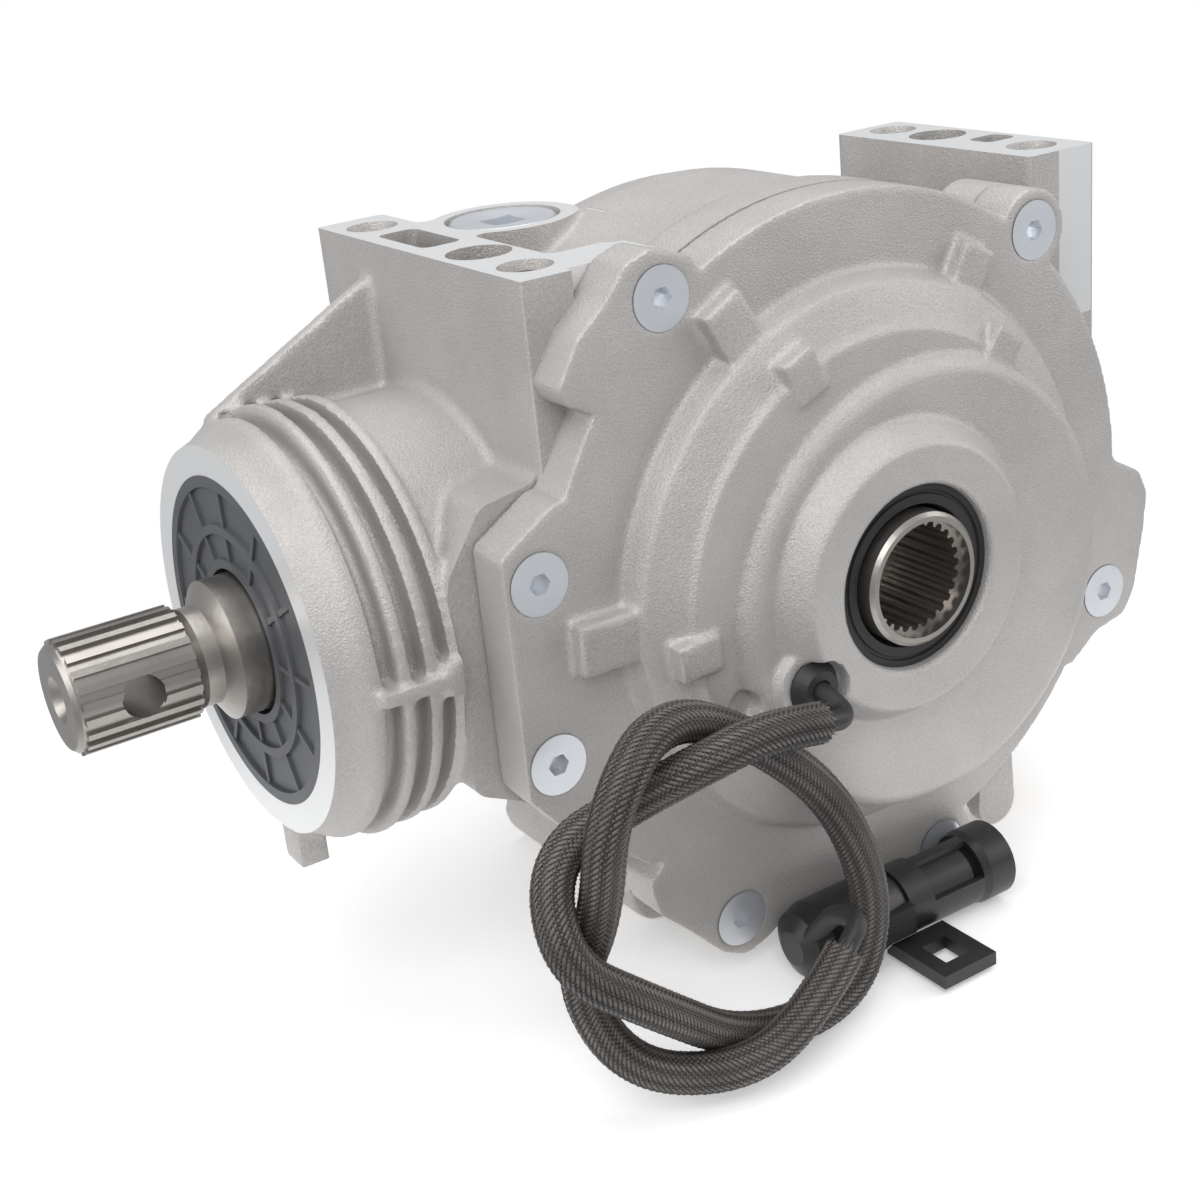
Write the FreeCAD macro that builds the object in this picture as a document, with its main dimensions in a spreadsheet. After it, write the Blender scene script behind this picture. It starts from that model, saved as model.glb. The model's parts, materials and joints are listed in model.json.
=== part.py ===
# Front differential with an electrically engaged roller clutch.
# X runs along the input shaft, Y along the axle, Z up; the origin is where both axes cross.
import FreeCAD, Part
import Sketcher
import math
import os
import re
from FreeCAD import Placement, Rotation, Vector

os.makedirs("parts", exist_ok=True)
doc = FreeCAD.newDocument("front_differential")

SIZES = {
    # main casting
    "joint_plane": -45, "flange_back": -33, "flange_front": -57, "flange_radius": 78.4,
    "drum_radius": 76.8, "cavity_radius": 66, "cavity_end": 24, "back_end": 53,
    "snout_end": -120, "snout_rim": 41.3, "snout_radius": 46, "snout_bore": 36,
    "snout_step": -68, "shoulder_bore": 31, "pad_top": 73, "foot_height": -90.5,
    "ear_radius": 8.5, "thread_radius": 4.25, "thread_depth": 20, "pad_hole_radius": 7,
    "insert_radius": 5.25, "foot_hole_radius": 4.5, "drain_angle": 54,
    # cover
    "boss_face": -77, "boss_radius": 28.7, "pilot_end": -31.6, "pilot_bore": 54,
    "coil_pocket": 52, "coil_floor": -56, "plateau_radius": 50, "plateau_face": -70.5,
    "ring_seat_inner": 68.8, "ring_seat_outer": 71.2, "ring_seat_depth": 2,
    "screw_shank": 3, "screw_head": 6.5, "screw_length": 22,
    # gears
    "cone_distance": 63.246, "face_width": 19, "gear_module": 3.3333, "backlash": 0.4,
    "pinion_teeth": 12, "ring_teeth": 36, "pressure_angle": 25,
    "pinion_journal": 17.5, "bearing_outer": 36, "seal_journal": 15, "spline_radius": 12.25,
    # clutch
    "drum_outer": 38, "drum_bore": 31.3, "scallop_radius": 10, "scallop_offset": 22.2,
    "roller_radius": 4, "roller_circle": 28, "head_radius": 23.95, "roller_count": 10,
    "cage_inner": 25, "cage_outer": 31, "hub_journal": 17, "bush_outer": 19.5,
    "hub_tube": 14.5, "hub_mouth": 12.6, "hub_spline": 11, "hub_teeth": 27,
    "axle_seal_outer": 20, "running_gap": 0.04,
    # lead
    "lead_diameter": 8.6, "grommet_x": -27, "grommet_z": -17, "plug_z": -81.5, "plug_y": -66.5,
    "drain_station": -32,
}
sheet = doc.addObject("Spreadsheet::Sheet", "Sizes")
for row, (word, value) in enumerate(SIZES.items(), start=1):
    sheet.set("A%d" % row, word)
    sheet.set("B%d" % row, str(value))
    sheet.setAlias("B%d" % row, word)
doc.recompute()

TURN = {
    "X": Rotation(Vector(0, 1, 0), 90),
    "Y": Rotation(Vector(1, 0, 0), -90),
    "Z": Rotation(),
}


def number(text):
    """Value of a sum of named sizes and plain numbers."""
    total = 0.0
    for sign, term in re.findall(r"([+-]?)\s*([\w.]+)", str(text)):
        amount = float(SIZES[term]) if term in SIZES else float(term)
        total += -amount if sign == "-" else amount
    return total


def bind(thing, prop, text):
    """Tie a property to the sheet."""
    words = re.sub(r"\b([a-z]+(?:_[a-z]+)+)\b", r"Sizes.\1", str(text))
    thing.setExpression(prop, words)


def settle(thing, at):
    for letter, text in zip("xyz", at):
        bind(thing, "Placement.Base." + letter, text)


def cyl(name, axis, radius, length, at=(0, 0, 0)):
    rod = doc.addObject("Part::Cylinder", name)
    rod.Placement = Placement(Vector(), TURN[axis])
    bind(rod, "Radius", radius)
    bind(rod, "Height", length)
    settle(rod, at)
    return rod


def cone(name, axis, first, second, length, at=(0, 0, 0)):
    taper = doc.addObject("Part::Cone", name)
    taper.Placement = Placement(Vector(), TURN[axis])
    bind(taper, "Radius1", first)
    bind(taper, "Radius2", second)
    bind(taper, "Height", length)
    settle(taper, at)
    return taper


def box(name, low, high):
    block = doc.addObject("Part::Box", name)
    for prop, a, b in zip(("Length", "Width", "Height"), low, high):
        bind(block, prop, "(%s) - (%s)" % (b, a))
    settle(block, low)
    return block


def fuse(name, *parts):
    union = doc.addObject("Part::MultiFuse", name)
    union.Shapes = list(parts)
    union.Refine = True
    return union


def cut(name, base, *tools):
    left = doc.addObject("Part::Cut", name)
    left.Base = base
    left.Tool = tools[0] if len(tools) == 1 else fuse(name + "_tools", *tools)
    return left


def outline(body, points, plane):
    sketch = body.newObject("Sketcher::SketchObject", body.Name + "_outline")
    origin = [item for item in body.Origin.OriginFeatures if item.Role == plane][0]
    sketch.AttachmentSupport = [(origin, "")]
    sketch.MapMode = "FlatFace"
    spots = [Vector(number(a), number(b), 0) for a, b in points]
    for index, spot in enumerate(spots):
        sketch.addGeometry(Part.LineSegment(spot, spots[(index + 1) % len(spots)]), False)
    for index in range(len(spots)):
        after = (index + 1) % len(spots)
        sketch.addConstraint(Sketcher.Constraint("Coincident", index, 2, after, 1))
    for index, (a, b) in enumerate(points):
        for kind, text, value, axis in (("DistanceX", a, spots[index].x, -2), ("DistanceY", b, spots[index].y, -1)):
            if text == 0:
                sketch.addConstraint(Sketcher.Constraint("PointOnObject", index, 1, axis))
                continue
            number_of = sketch.addConstraint(Sketcher.Constraint(kind, -1, 1, index, 1, value))
            if re.search("[a-z]", str(text)):
                bind(sketch, "Constraints[%d]" % number_of, text)
    return sketch


def turned(name, axis, points, at=None):
    """Body of revolution; points are (along the axis, radius)."""
    body = doc.addObject("PartDesign::Body", name)
    if axis == "X":
        sketch = outline(body, points, "XY_Plane")
        line = "H_Axis"
    else:
        plane = "XY_Plane" if axis == "Y" else "XZ_Plane"
        sketch = outline(body, [(b, a) for a, b in points], plane)
        line = "V_Axis"
    spin = body.newObject("PartDesign::Revolution", name + "_spin")
    spin.Profile = sketch
    spin.ReferenceAxis = (sketch, [line])
    spin.Angle = 360
    if at:
        settle(body, at)
    return body


def plate(name, points, front, back, corner=0):
    """Flat casting area between two planes across Y; points are (X, Z)."""
    body = doc.addObject("PartDesign::Body", name)
    sketch = outline(body, points, "XZ_Plane")
    bind(sketch, "AttachmentOffset.Base.z", "-(%s)" % back)
    pad = body.newObject("PartDesign::Pad", name + "_pad")
    pad.Profile = sketch
    bind(pad, "Length", "(%s) - (%s)" % (back, front))
    if corner:
        doc.recompute()
        upright = []
        for index, edge in enumerate(pad.Shape.Edges, start=1):
            along = edge.tangentAt(edge.FirstParameter)
            if abs(along.y) > 0.999:
                upright.append("Edge%d" % index)
        rounding = body.newObject("PartDesign::Fillet", name + "_corners")
        rounding.Base = (pad, upright)
        rounding.Radius = corner
    return body


def around(make, count, radius, start=0):
    """Repeat a feature round the axle axis."""
    items = []
    for index in range(count):
        angle = math.radians(start + 360.0 * index / count)
        items.append(make(index, radius * math.cos(angle), radius * math.sin(angle)))
    return items


def radial(rod, reach):
    """Points a rod away from the axle axis toward the drain."""
    angle = math.radians(SIZES["drain_angle"])
    rod.Placement = Placement(Vector(), Rotation(Vector(0, 1, 0), 90 + SIZES["drain_angle"]))
    settle(rod, ("%.3f" % (reach * math.cos(angle)), "drain_station", "%.3f" % (-reach * math.sin(angle))))
    return rod


SCREWS = [(-45.6, 66.1), (53.1, 60.4), (75.3, -31.4), (21.0, -80.4), (-38.0, -75.6), (-79.7, -22.1), (-79.3, 16.9)]


def flange(name, front, back):
    """Cover joint flange with its screw lugs, the same on both castings."""
    parts = [cyl(name + "_disc", "Y", "flange_radius", "(%s) - (%s)" % (back, front), (0, front, 0))]
    lugs = {
        "top_lug": [(-30, 60), (-38, 73), (-47, 76), (-53, 74), (-58, 68), (-65, 62.3), (-70.4, 53.4), (-69, 50),
                    (-61, 46), (-40, 35)],
        "left_lug": [(-60, 33), (-74, 32), (-87, 24), (-87, -28), (-79, -38), (-59, -54), (-40, -40)],
        "right_lug": [(50, 5), (77, 9), (78.7, 1), (87.4, -4), (90.1, -10), (89.1, -19), (86, -34), (82.5, -39.5),
                      (73, -41.4), (64, -48), (45, -30)],
        "lower_lug": [(-52, -50), (-61, -58), (-59, -66), (-52, -73), (-43.3, -82.4), (-37.6, -85.4), (-31.5, -83.8),
                      (-25, -80.3), (-16, -80.8), (-7, -83), (13, -87), (20, -60)],
    }
    for word, points in lugs.items():
        parts.append(plate(name + "_" + word, points, front, back, 2.5))
    length = "(%s) - (%s)" % (back, front)
    parts.append(cyl(name + "_upper_screw_lug", "Y", 9, length, (53.1, front, 60.4)))
    parts.append(cyl(name + "_foot_lug", "Y", "-80.4 - foot_height", length, (21, front, -80.4)))
    return parts


def bevel_tooth(teeth, mate):
    """One straight bevel tooth about +Z, narrowing toward the apex at the origin."""
    distance, module = SIZES["cone_distance"], SIZES["gear_module"]
    lean = math.atan2(teeth, mate)
    back = distance * math.tan(lean)
    alpha = math.radians(SIZES["pressure_angle"])
    base = back * math.cos(alpha)
    half = module * math.pi / 4 / back - SIZES["backlash"] / 4 / back
    roll = math.tan(alpha) - alpha
    place = Vector(math.sin(lean), 0, math.cos(lean))
    flank = []
    for step in range(6):
        reach = back - 1.25 * module + step * 2.05 * module / 5
        pressure = math.acos(min(1.0, base / reach))
        angle = half + roll - (math.tan(pressure) - pressure)
        flank.append((reach, angle))
    both = [(reach, -angle) for reach, angle in flank] + [(reach, angle) for reach, angle in reversed(flank)]
    spots = []
    for reach, angle in both:
        turn = angle / math.cos(lean)
        radius = reach * math.cos(lean)
        height = distance / math.cos(lean) - reach * math.sin(lean)
        spot = Vector(radius * math.cos(turn), radius * math.sin(turn), height)
        spots.append(spot * (distance / spot.dot(place)))
    small = 1 - SIZES["face_width"] / distance
    outer = Part.makePolygon(spots + [spots[0]])
    inner = Part.makePolygon([spot * small for spot in spots] + [spots[0] * small])
    return Part.makeLoft([inner, outer], True, True)


def teeth_ring(name, teeth, mate, shift, turn):
    tooth = bevel_tooth(teeth, mate)
    copies = []
    for index in range(teeth):
        copy = tooth.copy()
        copy.rotate(Vector(), Vector(0, 0, 1), (index + shift) * 360.0 / teeth)
        copies.append(copy)
    ring = doc.addObject("Part::Feature", name)
    ring.Shape = Part.makeCompound(copies)
    ring.Placement = Placement(Vector(), turn)
    return ring


# Main casting
def main_housing():
    drum = turned("housing_drum", "Y", [
        ("joint_plane", 0), ("joint_plane", "drum_radius"), (2, "drum_radius"), (12, 75), (22, 71.5), (40, 65),
        (46, 56), (48, 40), ("back_end", 33), ("back_end", 0)])
    snout = turned("housing_snout", "X", [
        ("snout_end", 0), ("snout_end", "snout_rim"), (-113, "snout_radius"), (-107.5, "snout_radius"),
        (-107, 44.4), (-106.4, 46.4), (-102, 46.4), (-101.3, 44), (-100, 44), (-99.4, 45.6), (-94.6, 45.6),
        (-94, 43.5), (-50, 43.5), (-50, 0)])
    shoulder = plate("housing_shoulder", [(-93, -29), (-93, 18), (-84, 31), (-50, 36), (-50, -40), (-70, -40)],
                     "joint_plane", 36, 4)
    left = box("left_pad_block", (-70.5, "joint_plane", 22), (-54, 42, "pad_top"))
    arm = box("left_pad_arm", (-56, "joint_plane", 50), (-41, -31, "pad_top"))
    bridge = box("fill_bridge", (-56, 0, 52), (-38, 24, "pad_top"))
    boss = cyl("fill_boss", "Z", 16.2, "pad_top - 50", (-39.5, 12, 50))
    right = box("right_pad_block", (65, -44, 24), (85, 23, "pad_top"))
    gusset = plate("left_gusset", [(-69, 66), (-71, 65), (-112, 43), (-112, 25), (-69, 25)], 18, 22, 1)
    side_rib = box("snout_rib", (-114, "joint_plane", -4.5), (-80, -38, 3))
    rim_tab = box("rim_tab", (-119, -8, -52), (-112, 0, -40))
    parts = [drum, snout, shoulder, left, arm, bridge, boss, right, gusset, side_rib, rim_tab]
    for side, x, front, back in (("right", 50, -18, 34), ("left", -38, -25, 34)):
        height = "foot_height + ear_radius"
        length = back - front
        parts.append(cyl(side + "_ear", "Y", "ear_radius", length, (x, front, height)))
        web = [(x - 8.4, -82), (x * 0.7 - 11, -48), (x * 0.7 + 11, -48), (x + 8.4, -82)]
        parts.append(plate(side + "_ear_web", web, front + 8, back - 8, 1))
    parts.append(cyl("front_foot", "Y", 6, 5, (50.5, "joint_plane", "foot_height + 6")))
    parts.append(plate("front_foot_web", [(44.6, -84.5), (45, -74), (36, -60), (56, -52), (55.6, -70), (56.4, -84.5)],
                       "joint_plane", -40))
    parts.append(radial(cyl("drain_boss", "X", 8.5, 30, (60, 0, 0)), 60))
    solid = fuse("housing_solid", *(parts + flange("housing_flange", "joint_plane", "flange_back")))
    tools = [
        turned("housing_cavity", "Y", [
            ("joint_plane - 1", 0), ("joint_plane - 1", "cavity_radius"), ("cavity_end - 8", "cavity_radius"),
            ("cavity_end", 58), ("cavity_end", 46), (6, 46), (6, 40.5), ("cavity_end", 40.5),
            ("cavity_end", "bush_outer"), (45.5, "bush_outer"), (45.5, "axle_seal_outer"),
            ("back_end + 1", "axle_seal_outer"), ("back_end + 1", 0)]),
        cyl("snout_bore_tool", "X", "snout_bore", "snout_step - snout_end + 1", ("snout_end - 1", 0, 0)),
        cyl("shoulder_bore_tool", "X", "shoulder_bore", 20, (-69, 0, 0)),
        cyl("pinion_clearance", "X", 24.5, 25.4, (-66, 0, 0)),
        cyl("ring_groove_tool", "X", 37.5, 2, (-97, 0, 0)),
        cyl("fill_recess", "Z", 13, 4, (-39.5, 12, "pad_top - 3")),
        cyl("fill_thread", "Z", 9, 30, (-39.5, 12, 48)),
        radial(cyl("drain_thread", "X", 5, 40, (55, 0, 0)), 55),
        plate("left_pad_pocket", [(-66.8, 45), (-66.8, 80), (-57.5, 80), (-57.5, 45)], -2, 20, 2),
        plate("left_pad_window", [(-51, 62), (-51, 80), (-43, 80), (-43, 62)], -29, -6, 2),
        box("right_pad_pocket", (74, -22, 55), (83, -14, 80)),
        cyl("left_pad_hole", "Z", "pad_hole_radius", 40, (-61.6, -15.9, 42)),
        cyl("right_pad_hole", "Z", "pad_hole_radius", 60, (76, -2, 20)),
    ]
    for index, (x, y) in enumerate(((-62.2, 30.8), (-62.2, -35.2), (76, 14.2), (76, -33.4))):
        tools.append(cyl("insert_hole_%d" % index, "Z", "insert_radius", 21, (x, y, "pad_top - 20")))
        tools.append(cone("insert_mouth_%d" % index, "Z", 5.25, 6.5, 1.4, (x, y, "pad_top - 1.3")))
    for index, (x, z) in enumerate(SCREWS):
        tools.append(cyl("housing_screw_hole_%d" % index, "Y", "screw_shank", 11.5, (x, -46, z)))
    for side, x, front in (("right", 50, -19), ("left", -38, -26)):
        tools.append(cyl(side + "_foot_hole", "Y", "foot_hole_radius", 80, (x, front, "foot_height + ear_radius")))
    for index, (x, z) in enumerate(((-80, -2), (84, -13))):
        tools.append(cyl("housing_dowel_hole_%d" % index, "Y", 3, 7, (x, -46, z)))
    return cut("main_housing", solid, *tools)


def cover():
    dome = turned("cover_dome", "Y", [
        ("pilot_end", 0), ("pilot_end", "cavity_radius - running_gap"), ("joint_plane", "cavity_radius - running_gap"),
        ("joint_plane", 74), ("flange_front", 74), ("flange_front", 62), (-62.5, 60), (-66, 51.8), (-67.4, 50.8),
        (-67.4, 34.5), (-70, 33.5), (-76, 29.6), ("boss_face", "boss_radius"), ("boss_face", 0)])
    plateau = cone("cover_plateau", "Y", 47.5, "plateau_radius", 1.5, (9, "plateau_face", -7))
    lip = cyl("cover_plateau_step", "Y", "plateau_radius", 11, (9, "plateau_face + 1.5", -7))
    grommet_boss = cone("grommet_boss", "Y", 8.2, 10, 5, ("grommet_x", "plateau_face - 2.5", "grommet_z"))
    parts = [dome, plateau, lip, grommet_boss]
    for index, (angle, near, far, width) in enumerate(((118.6, 56, 72, 10), (61, 56, 70, 9), (178.7, 55, 74, 11),
                                                       (113.8, 46, 56, 8), (51, 48, 56, 8), (-175, 46, 56, 8))):
        rib = box("cover_rib_%d" % index, (near, 0, 0), (far, 12 if near > 50 else 6, width))
        rib.Placement = Placement(Vector(), Rotation(Vector(0, 1, 0), -angle))
        turn = math.radians(angle)
        for letter, value in zip("xyz", (near * math.cos(turn) + width / 2 * math.sin(turn),
                                         -61.5 if near > 50 else -69,
                                         near * math.sin(turn) - width / 2 * math.cos(turn))):
            bind(rib, "Placement.Base." + letter, "%.3f" % value)
        bind(rib, "Length", far - near)
        parts.append(rib)
    solid = fuse("cover_solid", *(parts + flange("cover_flange", "flange_front", "joint_plane")))
    tools = [
        turned("cover_inside", "Y", [
            ("pilot_end + 1", 0), ("pilot_end + 1", "pilot_bore"), (-42, "pilot_bore"), (-42, "coil_pocket"),
            ("coil_floor", "coil_pocket"), ("coil_floor", 34), (-44, 34), (-44, "bush_outer"), (-64, "bush_outer"),
            (-64, 17.4), (-66.5, 17.4), (-66.5, "axle_seal_outer"), (-76, "axle_seal_outer"),
            ("boss_face - 1", 22), ("boss_face - 1", 0)]),
        cyl("grommet_hole", "Y", 5.2, 20, ("grommet_x", -75, "grommet_z")),
        cyl("grommet_seat", "Y", 6.4, 6, ("grommet_x", -79, "grommet_z")),
        cyl("lead_window", "Y", 3.4, 6, (-41, -72, -18.5)),
    ]
    for index, (x, z) in enumerate(SCREWS):
        tools.append(cyl("cover_screw_hole_%d" % index, "Y", 3.3, 14, (x, -58, z)))
        tools.append(cone("cover_countersink_%d" % index, "Y", 6.6, 3.3, 3.3, (x, "flange_front", z)))
    for index, (x, z) in enumerate(((-80, -2), (84, -13))):
        tools.append(cyl("cover_dowel_hole_%d" % index, "Y", 3, 7, (x, -51, z)))
    groove = turned("cover_ring_groove", "Y", [
        ("joint_plane - ring_seat_depth", "ring_seat_inner"), ("joint_plane - ring_seat_depth", "ring_seat_outer"),
        ("joint_plane + 1", "ring_seat_outer"), ("joint_plane + 1", "ring_seat_inner")])
    return cut("cover", solid, groove, *tools)


def cover_screws():
    screws = []
    for index, (x, z) in enumerate(SCREWS):
        head = cone("screw_head_%d" % index, "Y", "screw_head", "screw_shank", 3.3, (x, "flange_front", z))
        shank = cyl("screw_shank_%d" % index, "Y", "screw_shank", 19, (x, "flange_front + 3", z))
        key = doc.addObject("Part::Prism", "screw_key_%d" % index)
        key.Polygon = 6
        key.Circumradius = 2.4
        key.Height = 3.5
        key.Placement = Placement(Vector(x, -58, z), TURN["Y"])
        screws.append(cut("screw_%d" % index, fuse("screw_blank_%d" % index, head, shank), key))
    return fuse("cover_screws", *screws)


def small_parts():
    turned("cover_oring", "Y", [
        ("joint_plane - ring_seat_depth", "ring_seat_inner + 0.4"), ("joint_plane - ring_seat_depth", 70.8),
        (-46.5, "ring_seat_outer"), (-45.5, "ring_seat_outer"), ("joint_plane", 70.8), ("joint_plane", 69.2),
        (-45.5, "ring_seat_inner"), (-46.5, "ring_seat_inner")])
    fuse("dowel_pins", *[cyl("dowel_%d" % index, "Y", 2.99, 11, (x, -50.5, z))
                         for index, (x, z) in enumerate(((-80, -2), (84, -13)))])
    inserts = []
    for index, (x, y) in enumerate(((-62.2, 30.8), (-62.2, -35.2), (76, 14.2), (76, -33.4))):
        tube = cyl("insert_tube_%d" % index, "Z", "insert_radius", 18, (x, y, "pad_top - 20"))
        hole = cyl("insert_thread_%d" % index, "Z", "thread_radius", 20, (x, y, "pad_top - 21"))
        inserts.append(cut("insert_%d" % index, tube, hole))
    fuse("thread_inserts", *inserts)
    cut("fill_plug",
        turned("fill_plug_turned", "Z", [(50, 0), (50, 8.95), (70.5, 8.95), (70.5, 12.2), (72, 12.2), (72.8, 11.4),
                                         (72.8, 9), (71.6, 0)], (-39.5, 12, 0)),
        box("fill_plug_slot", (-43.5, 8, 68), (-35.5, 16, 75)))
    turned("fill_plug_seal", "Z", [(70, 9), (70, 11.6), (70.5, 11.6), (70.5, 9)], (-39.5, 12, 0))
    plug = turned("drain_plug", "X", [(68, 0), (68, 4.95), (91.2, 4.95), (91.2, 6.6), (92.4, 7.2), (97, 7.2), (98, 6.4),
                                      (98, 3), (94, 3), (94, 0)])
    washer = turned("drain_washer", "X", [(90, 5.05), (90, 7.8), (91.2, 7.8), (91.2, 5.05)])
    for part in (plug, washer):
        part.Placement = Placement(Vector(), Rotation(Vector(0, 1, 0), SIZES["drain_angle"]))
        settle(part, (0, "drain_station", 0))


def pinion():
    lean = math.atan2(SIZES["pinion_teeth"], SIZES["ring_teeth"])
    shaft = turned("pinion_turned", "X", [
        (-160, 0), (-160, 10.6), (-159, "spline_radius - 0.8"), (-134, "spline_radius - 0.8"), (-132, 10.6),
        (-128.5, 10.6), (-126, "seal_journal"), (-99, "seal_journal"), (-99, 17), (-95.1, 17),
        (-95, "pinion_journal"), ("snout_step", "pinion_journal"), ("snout_step", 21), (-62.6, 21),
        (-61.0, 16.9), (-42.5, 11.76), (-42.5, 0)])
    teeth = teeth_ring("pinion_teeth_row", 12, 36, 0, Rotation(Vector(0, 1, 0), -90).multiply(
        Rotation(Vector(0, 0, 1), 90)))
    keys = []
    for index in range(22):
        angle = math.radians(360.0 * index / 22)
        key = box("spline_tooth_%d" % index, (-158.4, -0.75, 10), (-134, 0.75, "spline_radius"))
        key.Placement = Placement(Vector(), Rotation(Vector(1, 0, 0), math.degrees(angle)))
        bind(key, "Placement.Base.x", -158.4)
        bind(key, "Placement.Base.y", "%.4f" % (-0.75 * math.cos(angle) - 10 * math.sin(angle)))
        bind(key, "Placement.Base.z", "%.4f" % (-0.75 * math.sin(angle) + 10 * math.cos(angle)))
        keys.append(key)
    return cut("pinion_shaft", fuse("pinion_solid", shaft, teeth, *keys),
               cyl("pinion_cross_hole", "Y", 4.5, 30, (-146, -15, 0)),
               cyl("pinion_centre_hole", "X", 2.6, 8, (-161, 0, 0)),
               cone("pinion_centre_mouth", "X", 5, 2.6, 3, (-160, 0, 0)))


def pinion_bearing():
    turned("pinion_bearing_inner", "X", [
        (-95, "pinion_journal"), (-95, 22.5), (-92, 22.5), (-89.6, 21.15), (-86.4, 21.15), (-84, 22.5), (-79, 22.5),
        (-76.6, 21.15), (-73.4, 21.15), (-71, 22.5), ("snout_step", 22.5), ("snout_step", "pinion_journal")])
    turned("pinion_bearing_outer", "X", [
        (-95, 31), (-95, "bearing_outer"), ("snout_step", "bearing_outer"), ("snout_step", 31), (-71, 31),
        (-73.4, 32.35), (-76.6, 32.35), (-79, 31), (-84, 31), (-86.4, 32.35), (-89.6, 32.35), (-92, 31)])
    balls = []
    for row, x in enumerate((-88, -75)):
        for index in range(12):
            angle = math.radians(30.0 * index + 15 * row)
            ball = doc.addObject("Part::Sphere", "bearing_ball_%d_%d" % (row, index))
            ball.Radius = 5.5
            ball.Placement = Placement(Vector(x, 26.75 * math.cos(angle), 26.75 * math.sin(angle)), Rotation())
            balls.append(ball)
    fuse("pinion_bearing_balls", *balls)
    ring = turned("cage_ring_blank", "X", [(-94, 25.7), (-94, 27.8), (-69, 27.8), (-69, 25.7)])
    pockets = []
    for ball in balls:
        base = ball.Placement.Base
        pocket = doc.addObject("Part::Sphere", "pocket_" + ball.Name)
        pocket.Radius = 5.8
        pocket.Placement = Placement(base, Rotation())
        pockets.append(pocket)
    cut("pinion_bearing_cage", ring, *pockets)
    ring = turned("snap_ring_blank", "X", [(-97, 32.5), (-97, 37.4), (-95, 37.4), (-95, 32.5)])
    cut("bearing_snap_ring", ring, box("snap_ring_gap", (-98, -5, 30), (-94, 5, 40)))


def pinion_seal():
    body = turned("pinion_seal_turned", "X", [
        (-120, 33.5), (-120, "snout_bore"), (-112, "snout_bore"), (-112, 33.6), (-118, 33.4), (-118, 19),
        (-112.6, 17.5), (-113.4, "seal_journal"), (-117.4, 16.2), (-120, 16), (-120, 18), (-119.1, 18.2),
        (-119.1, 23.3), (-120, 23.5), (-120, 25.5), (-119.1, 25.7), (-119.1, 33.3)])
    ribs = []
    for index in range(12):
        angle = 30.0 * index
        rib = box("seal_rib_%d" % index, (-119.8, -0.6, 18.1), (-119, 0.6, 33.6))
        turn = math.radians(angle)
        rib.Placement = Placement(Vector(), Rotation(Vector(1, 0, 0), angle))
        bind(rib, "Placement.Base.y", "%.4f" % (0.6 * -math.cos(turn) - 18.1 * math.sin(turn)))
        bind(rib, "Placement.Base.z", "%.4f" % (0.6 * -math.sin(turn) + 18.1 * math.cos(turn)))
        ribs.append(rib)
    fuse("pinion_seal", body, *ribs)
    turned("pinion_seal_spring", "X", [(-115, 18.6), (-114.2, 19.4), (-113.4, 19.4), (-113.4, 18.6)])


def axle_seals():
    for side, outer, inner in (("cover_side", -74.6, -66.5), ("housing_side", 53, 45.5)):
        deep = 1 if inner > outer else -1
        turned("axle_seal_" + side, "Y", [
            (outer, 15.6), (outer, 17.6), (outer + deep * 0.5, 17.8), (outer + deep * 0.5, 18.4), (outer, 18.6),
            (outer, "axle_seal_outer"), (inner, "axle_seal_outer"), (inner, 18.4), (outer + deep * 2, 18.2),
            (outer + deep * 2, 16.4), (inner - deep * 2, 15.4), (inner - deep * 3, "hub_tube")])


def ring_gear():
    blank = turned("ring_gear_turned", "Y", [
        (22, "drum_bore"), (22, "drum_outer"), (-15.4, "drum_outer"), (-15.4, 39.4), (-15.85, 40.3),
        (-23.16, 58.95), (-25, 58.95), (-30, 57), (-30, 51.4), (-36, 51.4), (-36, 47), (-30, 46),
        (-30, "drum_outer"), (-34, "drum_outer"), (-34, "drum_bore")])
    teeth = teeth_ring("ring_teeth_row", 36, 12, 0.5, Rotation(Vector(1, 0, 0), 90))
    scallops = around(lambda index, x, z: cyl("cam_pocket_%d" % index, "Y", "scallop_radius", 60, (
        "%.4f" % x, -36, "%.4f" % z)), 10, SIZES["scallop_offset"])
    return cut("ring_gear", fuse("ring_gear_solid", blank, teeth), *scallops)


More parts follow.
